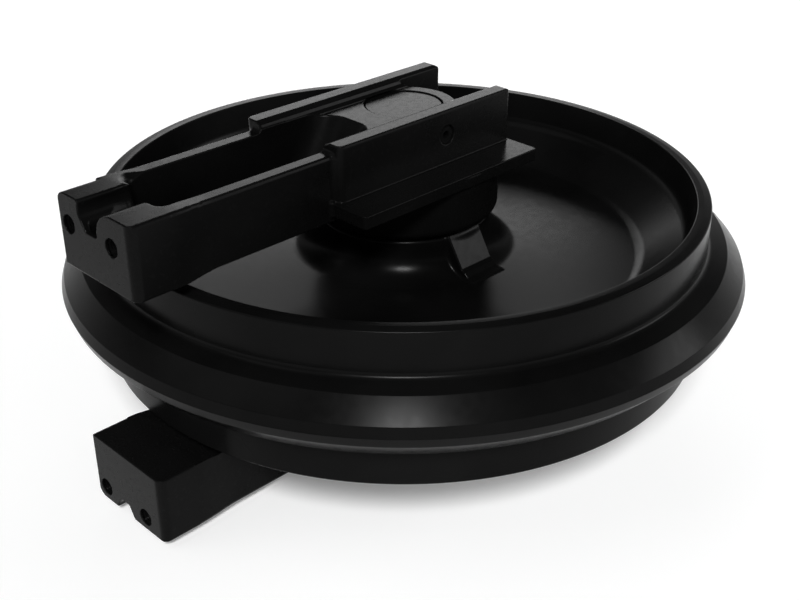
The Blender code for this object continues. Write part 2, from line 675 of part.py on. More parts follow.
def make_bracket(name, kind, material, parent):
    side = kind["side"]
    foot = GUIDE_LOW + GUIDE_THICKNESS / 2
    bracket = prism(name, block_plan(), foot, RAIL_TOP, "Z", side)
    bevel_edges(bracket, BLOCK_EDGE_BEVEL)

    arm_back = END_FACE + END_LENGTH / 2
    guide = prism(name + "_guide", guide_plan(), GUIDE_LOW, GUIDE_TOP, "Z", side)
    housing = revolve(name + "_housing", housing_section(), SEAT_FACETS, side)
    arm = prism(name + "_arm", arm_section(), arm_back, ARM_FRONT, "X", side)
    end = make_end_block(name + "_end", kind)
    for added in (guide, housing, arm, end):
        combine(bracket, added, "UNION")

    top = RAIL_TOP + PAST
    channel = prism(name + "_channel", channel_plan(), CHANNEL_FLOOR, top, "Z", side)
    channel_edge = prism(name + "_channel_edge", channel_edge_section(),
                         END_BACK + CHANNEL_END_ROUND, BLOCK_BACK - 1 * MM, "X", side)
    pocket = prism(name + "_pocket", pocket_plan(), POCKET_FLOOR, top, "Z", side)
    floor = prism(name + "_floor", floor_section(), BLOCK_BACK - PAST, BLOCK_FRONT + PAST, "X",
                  side)
    bore = prism(name + "_bore", circle(SHAFT_RADIUS + FIT, SEAT_FACETS), NOSE_END - PAST, top,
                 "Z", side)
    pin_outline = circle(PIN_RADIUS + FIT, HOLE_FACETS, (0, PIN_HEIGHT))
    pin_hole = prism(name + "_pin_hole", pin_outline, -BLOCK_HALF_WIDTH - PAST, PIN_END, "Y", side)
    plug_outline = circle(PLUG_RADIUS + FIT, HOLE_FACETS, (0, PIN_HEIGHT))
    plug_hole = prism(name + "_plug_hole", plug_outline, -BLOCK_HALF_WIDTH - PAST, -PLUG_SEAT,
                      "Y", side)
    cutters = [floor, channel, channel_edge, pocket, bore, pin_hole, plug_hole]
    for label, across in (("far", BOLT_FAR), ("near", BOLT_NEAR)):
        height = END_TOP - kind["bolt_drop"]
        outline = circle(BOLT_CORE_RADIUS, HOLE_FACETS, (across, height))
        cutters.append(prism(name + "_bolt_hole_" + label, outline, END_FACE - PAST,
                             END_FACE + BOLT_DEPTH, "X", side))
    for cutter in cutters:
        combine(bracket, cutter, "DIFFERENCE")
    return finish(bracket, material, parent)


def build():
    clear_scene()
    frame = make_empty("support_frame")
    spindle = make_empty("wheel_axis")

    wheel_paint = make_material("black_wheel_paint", (0.02, 0.02, 0.021), 0.32, 0.1)
    bracket_paint = make_material("black_bracket_paint", (0.022, 0.022, 0.023), 0.36, 0.1)
    shaft_paint = make_material("black_shaft_paint", (0.03, 0.03, 0.031), 0.38, 0.1)
    pin_steel = make_material("pin_steel", (0.2, 0.2, 0.21), 0.4, 1.0)
    bronze = make_material("bronze", (0.62, 0.4, 0.18), 0.35, 1.0)
    lapped_iron = make_material("lapped_iron", (0.45, 0.45, 0.46), 0.2, 1.0)
    rubber = make_material("black_rubber", (0.03, 0.03, 0.03), 0.7, 0.0)

    make_wheel(wheel_paint, spindle)
    make_shaft(shaft_paint, frame)
    make_oil_plug(bracket_paint, frame)
    for label, kind in (("upper", UPPER), ("lower", LOWER)):
        side = kind["side"]
        make_bracket(label + "_bracket", kind, bracket_paint, frame)
        make_bush(label + "_bush", side, bronze, spindle)
        make_thrust_ring(label + "_thrust_ring", side, bronze, frame)
        make_seal_ring(label + "_hub_seal_ring", side, False, lapped_iron, spindle)
        make_seal_rubber(label + "_hub_seal_rubber", side, False, rubber, spindle)
        make_seal_ring(label + "_bracket_seal_ring", side, True, lapped_iron, frame)
        make_seal_rubber(label + "_bracket_seal_rubber", side, True, rubber, frame)
        make_shaft_seal(label + "_shaft_o_ring", side, rubber, frame)
        make_lock_pin(label + "_lock_pin", side, pin_steel, frame)
        make_pin_plug(label + "_pin_plug", side, bracket_paint, frame)


build()
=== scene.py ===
# Looks of the excavator front idler: a turned wheel with crisp rims, and two
# cast brackets whose soft edges come from distance fields.
# Shapes are drawn in millimetres from the axle and the wheel's middle plane.

import json
from itertools import product
from math import atan2, ceil, cos, pi, radians, sin, sqrt, tan

import bpy
import numpy as np
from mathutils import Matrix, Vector

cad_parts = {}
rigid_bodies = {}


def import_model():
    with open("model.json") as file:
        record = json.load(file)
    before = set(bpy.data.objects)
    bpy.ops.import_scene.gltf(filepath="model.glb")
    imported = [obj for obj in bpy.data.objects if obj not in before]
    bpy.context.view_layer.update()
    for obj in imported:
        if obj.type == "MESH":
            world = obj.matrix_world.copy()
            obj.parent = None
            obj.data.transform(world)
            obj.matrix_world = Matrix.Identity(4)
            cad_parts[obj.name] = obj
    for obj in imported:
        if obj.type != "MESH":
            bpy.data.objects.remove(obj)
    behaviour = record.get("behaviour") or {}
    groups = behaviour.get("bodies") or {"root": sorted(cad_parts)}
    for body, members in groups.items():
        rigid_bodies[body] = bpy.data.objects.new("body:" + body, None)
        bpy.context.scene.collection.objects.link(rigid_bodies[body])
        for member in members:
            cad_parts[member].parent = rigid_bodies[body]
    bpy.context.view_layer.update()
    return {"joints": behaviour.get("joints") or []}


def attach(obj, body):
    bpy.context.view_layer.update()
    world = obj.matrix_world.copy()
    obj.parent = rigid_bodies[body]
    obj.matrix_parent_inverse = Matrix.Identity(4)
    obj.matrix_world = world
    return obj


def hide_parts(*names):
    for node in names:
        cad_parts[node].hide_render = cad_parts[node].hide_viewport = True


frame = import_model()

MM = 0.001
AXIS = Vector(frame["joints"][0]["pos_m"])

# Turned parts
TURN_STEPS = 288
ARC_STEP = radians(6)
SHARP_ANGLE = radians(25)

# Wheel, upper half
WHEEL_HALF_WIDTH = 64.3
TREAD_RADIUS = 256
RIM_INNER_RADIUS = 244
RIM_FLAT = 5.5
RIM_BEVEL_DROP = 1.2
DISH_DRAFT = 4.5
FLANGE_RADIUS = 290
CROWN_EDGE_RADIUS = 287.2
CROWN_HALF_WIDTH = 8.2
BAND_RADIUS = 272.6
BAND_HALF_WIDTH = 23.9
BAND_RISE = 3.6
WEB_HALF_THICKNESS = 9
SLOPE_START_RADIUS = 203
SLOPE_RISE = 27
HUB_RADIUS = 74
HUB_HALF_WIDTH = 41
HUB_FOOT_ROUND = 24
SEAL_POCKET_RADIUS = 51
SEAL_SHELF = 30.3
BUSH_POCKET_RADIUS = 44.3
BUSH_SEAT = 22
HUB_BORE_RADIUS = 37.8

# Boss on the hub's foot
BOSS_WIDTH = (-20.6, 16.1)
BOSS_SIDE = [(60, 3, 0), (103, 3, 0), (99.5, 9.6, 0), (94.5, 11.6, 3), (91, 14.9, 2.5),
             (87.6, 16.6, 2.5), (72.4, 41.2, 0), (60, 41.2, 0)]
BOSS_ANGLE = radians(-90)
BOSS_EDGE = 1.6
BOSS_FILLET = 3
BOSS_STEP = 0.7
BOSS_SPACE = ((62, 113), (-24, 24), (4, 42))
HUB_SINK = 0.04
FOOT_STRETCH = (40, 130)
FOOT_LOW = -4

# Shaft bore and axle block of a bracket. A pair of ends is (near side, far side).
SHAFT_RADIUS = 32.5
SHAFT_CLEARANCE = 0.3
BORE_LOW = 20
BORE_LIP = 0.6
BORE_EDGE = 0.4
GUIDE_BOX = ((-119.5, 77), (-80.5, 80.5), (82.7, 93.2))
GUIDE_CORNER = 3
GUIDE_EDGE = 0.6
GUIDE_FILLET = 2
HOUSING_RADIUS = 80
HOUSING_LOW = 43
HOUSING_TOP = 90
HOUSING_ROUND = 8
NOSE_RADIUS = 37.5
NOSE_LOW = 30.6
NOSE_TOP = 60
SEAL_POCKET_TOP = 53.7
BLOCK_BACK = (-116, -124.5)
BLOCK_FRONT = (75, 77.5)
BLOCK_HALF_WIDTH = 50.3
BLOCK_LOW = 86
BLOCK_CORNERS = (6, 3, 3, 6)
BLOCK_EDGE = 1.2
BLOCK_FILLET = 1
RAIL_TOP = 138.5
RAIL_END_ROUND = 4
RAIL_BEND = (33, RAIL_TOP - 2)
RAIL_EDGE = (37.6, RAIL_TOP)
ABOVE_RAIL = (46, RAIL_TOP + 3.6)
FLOOR = 131.2
POCKET_FLOOR = 96
POCKET_STRETCH = (20, 200)
POCKET_HALF_WIDTH = 34
POCKET_ROUND = 3
POCKET_LIP = 43.5
POCKET_LIP_ROUND = 2
POCKET_EDGE = 1
PIN_HEIGHT = 117.2
PIN_HOLE_RADIUS = 7.9
PIN_HOLE_DEPTH = 38
PIN_HOLE_EDGE = 0.9

# Arm, its channel and the recess before the axle block
ARM_LOW = 77.5
ARM_TOP = 130.5
ARM_HALF_WIDTH = 43
ARM_BEVEL = 2.4
ARM_EDGE = 1
ARM_FILLET = 4
ARM_INNER_END = -100
KEEL_STRETCH = (-120, -62)
KEEL_ROUND = 2
CHANNEL_HALF_WIDTH = 30.9
CHANNEL_FLOOR = 86
CHANNEL_END = -118
CHANNEL_CORNER = 8
RECESS_START = -120
RECESS_TIP = -56.5
RECESS_CORNER = 24
RECESS_LEAN = 0.6

# Lobed block at the arm's end
SWELL_START = -225
END_FACE = -296
END_BACK = -262
LOBE_BACK = -249
LOBE_REACH = (6, 36)
END_HALF_WIDTH = 45
END_LOW = 74.5
END_TOP = 131.5
END_CORNERS = (7, 0, 0, 1)
END_WALL = 5
END_ROUND = 0.8
END_OVERLAP = 3
END_SETBACK = 0.2
SLOT = (-3, 14.5)
SLOT_BACK = -240
SLOT_ROUND = 2

# Rounding of the channel's upper edges on each side: places along x, radii there
NEAR_EDGE_ROUNDS = ((END_BACK, -250), (2.6, 0.8))
FAR_EDGE_ROUNDS = ((-272, -258, -245, -234), (2, 8, 8, 0.8))

# Stretches of x outside which a section need not be worked out
FAR_OUT = -400
BLOCK_STRETCH = (-135, 200)
ARM_STRETCH = (FAR_OUT, -80)
LOBE_STRETCH = (FAR_OUT, -240)
CHANNEL_STRETCH = (FAR_OUT, -110)
RECESS_STRETCH = (-125, 0)

# Tapped holes for the yoke's bolts
THREAD_CREST = 6.9
THREAD_ROOT = 8
THREAD_PITCH = 2
THREAD_STEPS = 40
THREAD_SLICES = 6
THREAD_SHELL = 0.4
THREAD_PLAY = 0.2
BOLT_PLACES = (33, -20)
BOLT_START = END_FACE + 2
BOLT_END = END_FACE + 28
BOLT_HOLE_EDGE = 0.3

# How surfaces of fields are followed, in millimetres
SURFACE_STEPS = 2
PROBE = 0.02
LONGEST_MOVE = 0.4
LEAST_SLOPE_SQUARED = 0.25


def rounded(corners, closed=True):
    """Points of an outline whose corners are (across, along, radius)."""
    outline = []
    last = len(corners) - 1
    for index, (across, along, radius) in enumerate(corners):
        here = Vector((across, along))
        if radius == 0 or (not closed and index in (0, last)):
            outline.append(tuple(here))
            continue
        back = (Vector(corners[index - 1][:2]) - here).normalized()
        ahead = (Vector(corners[(index + 1) % len(corners)][:2]) - here).normalized()
        half = back.angle(ahead) / 2
        centre = here + (back + ahead).normalized() * radius / sin(half)
        first = here + back * radius / tan(half) - centre
        end = here + ahead * radius / tan(half) - centre
        start = atan2(first.y, first.x)
        turn = (atan2(end.y, end.x) - start + pi) % (2 * pi) - pi
        steps = max(2, ceil(abs(turn) / ARC_STEP))
        for step in range(steps + 1):
            angle = start + turn * step / steps
            outline.append((centre.x + radius * cos(angle), centre.y + radius * sin(angle)))
    return outline


def make_object(name, points, faces, body, replaced, material, normals=None):
    """A mesh piece drawn from the axle in millimetres, on its body."""
    mesh = bpy.data.meshes.new(name)
    mesh.from_pydata([(AXIS.x + x * MM, AXIS.y + y * MM, AXIS.z + z * MM) for x, y, z in points],
                     [], faces)
    mesh.shade_smooth()
    if normals is None:
        mesh.set_sharp_from_angle(angle=SHARP_ANGLE)
    else:
        mesh.normals_split_custom_set_from_vertices(normals)
    mesh.materials.append(material)
    thing = bpy.data.objects.new(name, mesh)
    bpy.context.scene.collection.objects.link(thing)
    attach(thing, body)
    for node in replaced:
        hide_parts(node)
    return thing


def turned(outline, closed=True, steps=TURN_STEPS):
    """Points and faces of an outline of (radius, height) turned about the axle."""
    angles = np.arange(steps) * 2 * pi / steps
    points = [(r * cos(a), r * sin(a), z) for a in angles for r, z in outline]
    return points, ring_faces(len(outline), steps, closed)


def ring_faces(count, steps, closed=True):
    """Faces between a ring of outlines with count points each."""
    faces = []
    for turn in range(steps):
        here, there = turn * count, (turn + 1) % steps * count
        for index in range(count if closed else count - 1):
            after = (index + 1) % count
            faces.append((here + index, there + index, there + after, here + after))
    return faces


# Distance fields, below zero inside a solid

def outline_field(u, v, outline):
    """Distance from a closed outline drawn in the plane (u, v)."""
    nearest = np.full(np.broadcast(u, v).shape, np.inf)
    inside = np.zeros(nearest.shape, bool)
    for (u0, v0), (u1, v1) in zip(outline, outline[1:] + outline[:1]):
        du, dv = u1 - u0, v1 - v0
        length = du * du + dv * dv
        if length == 0:
            continue
        share = np.clip(((u - u0) * du + (v - v0) * dv) / length, 0, 1)
        nearest = np.minimum(nearest, (u - u0 - share * du) ** 2 + (v - v0 - share * dv) ** 2)
        if dv != 0:
            crosses = (v0 <= v) != (v1 <= v)
            inside ^= crosses & (u - u0 < (v - v0) * du / dv)
    return np.where(inside, -1, 1) * np.sqrt(nearest)


def stretch_field(x, low, high, u, v, outline):
    """The same, for single points only where x lies between low and high."""
    if np.ndim(x) > 1:
        return outline_field(u, v, outline)
    inside = (x > low) & (x < high)
    distance = np.full(x.shape, 1000.0)
    distance[inside] = outline_field(u[inside], v[inside], outline)
    return distance


def both(a, b, radius):
    """Where two solids overlap, with the edge between them rounded."""
    return (np.minimum(-radius, np.maximum(a, b))
            + np.hypot(np.maximum(a + radius, 0), np.maximum(b + radius, 0)))


def joined(a, b, radius):
    """Two solids together, with a fillet between them."""
    return -both(-a, -b, radius)


def slab(value, low, high):
    return np.maximum(low - value, value - high)


def plate(u, v, across, along, radii):
    """Rectangle in the plane (u, v) with rounded corners: radii are low-low, high-low,
    high-high and low-high."""
    u = u - sum(across) / 2
    v = v - sum(along) / 2
    radius = np.where(v < 0, np.where(u < 0, radii[0], radii[1]),
                      np.where(u < 0, radii[3], radii[2]))
    a = np.abs(u) - (across[1] - across[0]) / 2 + radius
    b = np.abs(v) - (along[1] - along[0]) / 2 + radius
    return (np.minimum(np.maximum(a, b), 0) + np.hypot(np.maximum(a, 0), np.maximum(b, 0))
            - radius)


# Sections drawn for one side as (distance from the middle, height)
MIDDLE = -60
RAIL_SECTION = [
    (MIDDLE, BLOCK_LOW), (BLOCK_HALF_WIDTH, BLOCK_LOW), (BLOCK_HALF_WIDTH, RAIL_TOP - 1.8),
    (BLOCK_HALF_WIDTH - 0.5, RAIL_TOP - 0.5), (BLOCK_HALF_WIDTH - 1.8, RAIL_TOP),
    RAIL_EDGE, RAIL_BEND, (31.6, RAIL_TOP - 4.9), (28, RAIL_TOP - 6.3),
    (27.5, FLOOR), (MIDDLE, FLOOR),
]
CHANNEL_SECTION = [
    (MIDDLE, CHANNEL_FLOOR), (CHANNEL_HALF_WIDTH, CHANNEL_FLOOR),
    (CHANNEL_HALF_WIDTH, RAIL_TOP - 6.8), RAIL_BEND, RAIL_EDGE, ABOVE_RAIL,
    (MIDDLE, ABOVE_RAIL[1]),
]
ARM_CHANNEL_SECTION = [
    (MIDDLE, CHANNEL_FLOOR), (CHANNEL_HALF_WIDTH, CHANNEL_FLOOR),
    (CHANNEL_HALF_WIDTH, ARM_TOP - ARM_BEVEL), (CHANNEL_HALF_WIDTH + 0.7, ARM_TOP - 0.7),
    (CHANNEL_HALF_WIDTH + ARM_BEVEL, ARM_TOP), (CHANNEL_HALF_WIDTH + ARM_BEVEL, RAIL_BEND[1]),
    RAIL_EDGE, ABOVE_RAIL, (MIDDLE, ABOVE_RAIL[1]),
]
ARM_SECTION = [
    (MIDDLE, ARM_LOW), (ARM_HALF_WIDTH, ARM_LOW), (ARM_HALF_WIDTH, ARM_TOP - ARM_BEVEL),
    (ARM_HALF_WIDTH - 0.7, ARM_TOP - 0.7), (ARM_HALF_WIDTH - ARM_BEVEL, ARM_TOP),
    (MIDDLE, ARM_TOP),
]


def end_outline(far_top, far_knee, far_floor, near_floor, near_edge, near_round, floor, knee):
    """Two lobes with a notch between them: the far flank is hollow, the near one round."""
    half = END_HALF_WIDTH
    return rounded([
        (-half, END_LOW, 2), (half, END_LOW, 2), (half, END_TOP, 8), (far_top, END_TOP, 2.2),
        (far_knee, knee, 12), (far_floor, floor, 1), (near_floor, floor, 1.5),
        (near_edge, END_TOP, near_round), (-half, END_TOP, 2.6),
    ])


UPPER = {
    "side": 1, "bolt_height": 108.8,
    "outline": end_outline(far_top=17.5, far_knee=20.5, far_floor=11, near_floor=-2,
                           near_edge=-4, near_round=19, floor=109.5, knee=121.5),
}
LOWER = {
    "side": -1, "bolt_height": 119.5,
    "outline": end_outline(far_top=19, far_knee=17.5, far_floor=12.5, near_floor=2.8,
                           near_edge=-3, near_round=3, floor=121, knee=126.5),
}


def axle_block(x, y, z):
    """Guide flange, seal housing and the block with its two rails, all still filled."""
    guide = both(plate(x, y, GUIDE_BOX[0], GUIDE_BOX[1], (GUIDE_CORNER,) * 4),
                 slab(z, *GUIDE_BOX[2]), GUIDE_EDGE)
    housing = plate(np.hypot(x, y), z, (-HOUSING_RADIUS, HOUSING_RADIUS),
                    (HOUSING_LOW, HOUSING_TOP), (0, HOUSING_ROUND, 0, 0))
    half = BLOCK_HALF_WIDTH
    back, front = (np.where(y < 0, *ends) for ends in (BLOCK_BACK, BLOCK_FRONT))
    block = both(plate(x, y, (back, front), (-half, half), BLOCK_CORNERS),
                 stretch_field(x, *BLOCK_STRETCH, np.abs(y), z, RAIL_SECTION), BLOCK_EDGE)
    block = np.maximum(block, both(x - front, z - RAIL_TOP, RAIL_END_ROUND))
    return joined(joined(guide, housing, GUIDE_FILLET), block, BLOCK_FILLET)


def place_in_arm(x, y, z):
    """Where a point lies in the arm's section, which swells towards the end block."""
    swell = np.clip((SWELL_START - x) / (SWELL_START - END_BACK), 0, 1)
    swell = swell * swell * (3 - 2 * swell)
    flush_width = END_HALF_WIDTH - END_ROUND * (1 - sqrt(0.5))
    across = np.abs(y) * (1 + swell * (ARM_HALF_WIDTH / flush_width - 1))
    height = ARM_TOP + (z - ARM_TOP - swell * (END_TOP - ARM_TOP)) * (
        1 + swell * ((ARM_TOP - ARM_LOW) / (END_TOP - END_LOW) - 1))
    return across, height


def arm_and_end(x, y, z, outline):
    """The arm, still filled, with its keel under the axle block, and the lobed end block."""
    section = stretch_field(x, *ARM_STRETCH, *place_in_arm(x, y, z), ARM_SECTION)
    arm = both(slab(x, END_BACK - END_OVERLAP, ARM_INNER_END), section, ARM_EDGE)
    half = ARM_HALF_WIDTH
    keel = both(slab(x, *KEEL_STRETCH),
                plate(y, z, (-half, half), (ARM_LOW, HOUSING_TOP), (KEEL_ROUND, KEEL_ROUND, 0, 0)),
                ARM_EDGE)
    half = END_HALF_WIDTH
    lobes = stretch_field(x, *LOBE_STRETCH, y, z, outline)
    end = both(plate(x, y, (END_FACE, END_BACK), (-half, half), END_CORNERS), lobes, END_ROUND)
    # The arm covers the end block's back, so that no seam shows
    end = np.where(x > END_BACK - END_OVERLAP / 2, end + END_SETBACK, end)
    low, high = LOBE_REACH
    notched = (x < np.where(y < low, END_BACK, LOBE_BACK)) & (np.abs(y) < high)
    return np.minimum(np.where(notched, np.maximum(arm, lobes), arm), keel), end


def channel_cut(x, y, z):
    """Cut of the arm's channel, of the slot behind the end wall and of the recess."""
    half = CHANNEL_HALF_WIDTH
    corners = (CHANNEL_CORNER, RECESS_CORNER, RECESS_CORNER, CHANNEL_CORNER)
    plan = plate(x, y, (np.where(y < LOBE_REACH[0], END_BACK, LOBE_BACK), RECESS_TIP),
                 (-half, half), corners)
    slot = plate(x, y, (END_FACE + END_WALL, SLOT_BACK), SLOT, (SLOT_ROUND, 0, 0, SLOT_ROUND))
    plan = joined(plan, slot, CHANNEL_CORNER)
    height = place_in_arm(x, y, z)[1]
    channel = np.maximum(plan, stretch_field(x, *CHANNEL_STRETCH, np.abs(y), height,
                                             ARM_CHANNEL_SECTION))
    channel = np.maximum(channel, x - CHANNEL_END)
    recess = plate(x + RECESS_LEAN * (FLOOR - z), y, (FAR_OUT, RECESS_TIP), (-half, half), corners)
    recess = np.maximum(recess, stretch_field(x, *RECESS_STRETCH, np.abs(y), z, CHANNEL_SECTION))
    return np.minimum(channel, np.maximum(recess, RECESS_START - x))


def without_holes(solid, x, y, z, bolt_height):
    """A bracket with its rail pocket, shaft bore, tapped holes and pin hole."""
    radius = np.hypot(x, y)
    pocket = both(slab(x, *POCKET_STRETCH),
                  slab(y, -POCKET_HALF_WIDTH, POCKET_HALF_WIDTH), POCKET_ROUND)
    pocket = both(pocket, POCKET_LIP - radius, POCKET_LIP_ROUND)
    solid = both(solid, -np.maximum(pocket, POCKET_FLOOR - z), POCKET_EDGE)
    bore = np.maximum(radius - (SHAFT_RADIUS + SHAFT_CLEARANCE),
                      slab(z, BORE_LOW, FLOOR + BORE_LIP))
    solid = both(solid, -bore, BORE_EDGE)
    for place in BOLT_PLACES:
        reach = np.hypot(y - place, z - bolt_height)
        hole = np.minimum(np.maximum(reach - THREAD_CREST, x - BOLT_END),
                          np.maximum(reach - THREAD_ROOT - THREAD_PLAY,
                                     slab(x, BOLT_START, BOLT_END)))
        solid = both(solid, -hole, BOLT_HOLE_EDGE)
    pin = np.maximum(np.hypot(x, z - PIN_HEIGHT) - PIN_HOLE_RADIUS, y + PIN_HOLE_DEPTH)
    return both(solid, -pin, PIN_HOLE_EDGE)


def casting_field(x, y, z, kind):
    """A whole bracket, drawn as the upper one."""
    radius = np.hypot(x, y)
    nose = np.maximum(radius - NOSE_RADIUS, slab(z, NOSE_LOW, NOSE_TOP))
    arm, end = arm_and_end(x, y, z, kind["outline"])
    solid = np.minimum(joined(axle_block(x, y, z), arm, ARM_FILLET), end)
    seal_pocket = np.maximum(slab(radius, NOSE_RADIUS, SEAL_POCKET_RADIUS), z - SEAL_POCKET_TOP)
    solid = np.minimum(np.maximum(solid, -seal_pocket), nose)
    edge = np.where(y < LOBE_REACH[0], np.interp(x, *NEAR_EDGE_ROUNDS),
                    np.interp(x, *FAR_EDGE_ROUNDS))
    solid = both(solid, -channel_cut(x, y, z), edge)
    return without_holes(solid, x, y, z, kind["bolt_height"])


def boss_field(u, v, z):
    """Sloping boss of the wheel and the fillet at its foot, over a hub a hair smaller."""
    hub = outline_field(np.hypot(u, v), z, HUB_FOOT) + HUB_SINK
    boss = both(outline_field(u, z, BOSS_OUTLINE), slab(v, *BOSS_WIDTH), BOSS_EDGE)
    around = np.maximum(plate(u, v, BOSS_SPACE[0], BOSS_SPACE[1], (0, 0, 0, 0)),
                        slab(z, *BOSS_SPACE[2]))
    return np.maximum(joined(boss, hub, BOSS_FILLET), around)


def thread(y, z):
    """Ring of a bolt hole with a helical thread, along x."""
    depths = np.arange(BOLT_START, BOLT_END, THREAD_PITCH / THREAD_SLICES)
    outer = THREAD_ROOT + THREAD_SHELL
    points = []
    for step in range(THREAD_STEPS):
        turn = step / THREAD_STEPS
        ramp = (depths / THREAD_PITCH - turn) % 1
        # Flat crests and roots with straight flanks between them
        depth = np.clip(1.4 - abs(4 * ramp - 2), 0, 1)
        radii = THREAD_CREST + (THREAD_ROOT - THREAD_CREST) * depth
        ring = list(zip(radii, depths)) + [(outer, depths[-1]), (outer, depths[0])]
        angle = 2 * pi * turn
        points += [(x, y + r * cos(angle), z + r * sin(angle)) for r, x in ring]
    return points, ring_faces(len(depths) + 2, THREAD_STEPS)


def lines(*stretches):
    """Grid lines: each stretch is (start, end, step)."""
    parts = [np.linspace(a, b, max(1, round((b - a) / step)), endpoint=False)
             for a, b, step in stretches]
    return np.concatenate(parts + [[stretches[-1][1]]])


def surface(field, grid):
    """Points, faces and normals of a field's surface, by surface nets on a grid of lines."""
    xs, ys, zs = grid
    values = field(xs[:, None, None], ys[None, :, None], zs[None, None, :])
    inside = values < 0
    shape = tuple(n - 1 for n in inside.shape)
    total = np.zeros(shape + (3,))
    count = np.zeros(shape)
    crossings = []
    for axis in range(3):
        low = [slice(None)] * 3
        high = [slice(None)] * 3
        low[axis], high[axis] = slice(0, -1), slice(1, None)
        a, b = values[tuple(low)], values[tuple(high)]
        where = np.nonzero((a < 0) != (b < 0))
        share = a[where] / (a[where] - b[where])
        place = np.stack([grid[k][where[k]] for k in range(3)], axis=1)
        place[:, axis] += share * (grid[axis][where[axis] + 1] - grid[axis][where[axis]])
        crossings.append((axis, where, a[where] < 0))
        others = [k for k in range(3) if k != axis]
        for back in product((0, 1), repeat=2):
            cell = [w.copy() for w in where]
            for k, step in zip(others, back):
                cell[k] -= step
            good = np.all([(cell[k] >= 0) & (cell[k] < shape[k]) for k in range(3)], axis=0)
            cell = tuple(c[good] for c in cell)
            np.add.at(total, cell, place[good])
            np.add.at(count, cell, 1)
    used = count > 0
    index = np.full(shape, -1)
    index[used] = np.arange(used.sum())
    points = total[used] / count[used][:, None]
    faces = []
    for axis, where, outward in crossings:
        others = [k for k in range(3) if k != axis]
        if axis == 1:
            others.reverse()
        ring = []
        for back in ((1, 1), (0, 1), (0, 0), (1, 0)):
            cell = [w.copy() for w in where]
            for k, step in zip(others, back):
                cell[k] -= step
            ring.append(index[tuple(cell)])
        ring = np.stack(ring, axis=1)
        ring[~outward] = ring[~outward][:, ::-1]
        faces.append(ring)
    faces = np.concatenate(faces)

    # Newton steps bring the points onto the surface
    for _ in range(SURFACE_STEPS):
        here = field(*points.T)
        ahead = [field(*(points + offset).T) for offset in np.eye(3) * PROBE]
        gradient = (np.stack(ahead, axis=1) - here[:, None]) / PROBE
        size = np.maximum((gradient ** 2).sum(axis=1), LEAST_SLOPE_SQUARED)
        move = np.clip(here / size, -LONGEST_MOVE, LONGEST_MOVE)
        points -= move[:, None] * gradient
    normals = gradient / np.maximum(np.linalg.norm(gradient, axis=1, keepdims=True), 1e-9)
    return points, faces, normals


def material_nodes(name):
    material = bpy.data.materials.new(name)
    material.use_nodes = True
    return material, material.node_tree.nodes, material.node_tree.links


def add_noise(nodes, links, coordinates, scale, detail):
    noise = nodes.new("ShaderNodeTexNoise")
    noise.inputs["Scale"].default_value = scale
    noise.inputs["Detail"].default_value = detail
    links.new(coordinates.outputs["Object"], noise.inputs["Vector"])
    return noise


def spread(nodes, links, value, low, high):
    """Value from 0.35 to 0.65 spread between low and high."""
    ranged = nodes.new("ShaderNodeMapRange")
    ranged.inputs["From Min"].default_value = 0.35
    ranged.inputs["From Max"].default_value = 0.65
    ranged.inputs["To Min"].default_value = low
    ranged.inputs["To Max"].default_value = high
    links.new(value, ranged.inputs["Value"])
    return ranged.outputs["Result"]


def paint(name, dark, light, roughness, ior, grain, depth):
    """Finish with cloudy colour, uneven sheen and a fine grain of the given scale and depth."""
    material, nodes, links = material_nodes(name)
    shader = nodes["Principled BSDF"]
    shader.inputs["IOR"].default_value = ior
    coordinates = nodes.new("ShaderNodeTexCoord")
    clouds = add_noise(nodes, links, coordinates, scale=9, detail=5)
    colour = nodes.new("ShaderNodeMix")
    colour.data_type = "RGBA"
    colour.inputs[6].default_value = (*dark, 1)
    colour.inputs[7].default_value = (*light, 1)
    links.new(spread(nodes, links, clouds.outputs["Fac"], 0, 1), colour.inputs["Factor"])
    links.new(colour.outputs[2], shader.inputs["Base Color"])
    fine = add_noise(nodes, links, coordinates, scale=grain, detail=3)
    sheen = spread(nodes, links, fine.outputs["Fac"], roughness - 0.02, roughness + 0.02)
    links.new(sheen, shader.inputs["Roughness"])
    bump = nodes.new("ShaderNodeBump")
    bump.inputs["Strength"].default_value = 1
    bump.inputs["Distance"].default_value = depth * MM
    links.new(fine.outputs["Fac"], bump.inputs["Height"])
    links.new(bump.outputs["Normal"], shader.inputs["Normal"])
    return material


DARK_PAINT = (0.002, 0.002, 0.002)
WORN_PAINT = (0.004, 0.004, 0.004)
wheel_black = paint("wheel_black", DARK_PAINT, WORN_PAINT,
                    roughness=0.25, ior=1.13, grain=160, depth=0.002)
cast_black = paint("cast_black", DARK_PAINT, WORN_PAINT,
                   roughness=0.26, ior=1.13, grain=220, depth=0.0025)
steel = paint("pin_steel", (0.012, 0.012, 0.013), (0.03, 0.03, 0.032),
              roughness=0.3, ior=1.5, grain=400, depth=0.02)
bronze = paint("bronze", (0.5, 0.3, 0.12), (0.66, 0.44, 0.2),
               roughness=0.3, ior=1.5, grain=300, depth=0.02)
iron = paint("lapped_iron", (0.38, 0.38, 0.39), (0.5, 0.5, 0.51),
             roughness=0.2, ior=1.5, grain=500, depth=0.01)
rubber = paint("black_rubber", (0.02, 0.02, 0.02), (0.04, 0.04, 0.04),
               roughness=0.65, ior=1.5, grain=300, depth=0.05)
for metal in (bronze, iron):
    metal.node_tree.nodes["Principled BSDF"].inputs["Metallic"].default_value = 1

FINISHES = {"bush": bronze, "thrust": bronze, "seal_ring": iron, "rubber": rubber, "o_ring": rubber,
            "lock_pin": steel}
for thing in list(bpy.data.objects):
    if thing.type == "MESH":
        finish = cast_black
        for word, material in FINISHES.items():
            if word in thing.name:
                finish = material
        for surface_slot in thing.material_slots:
            surface_slot.material = finish

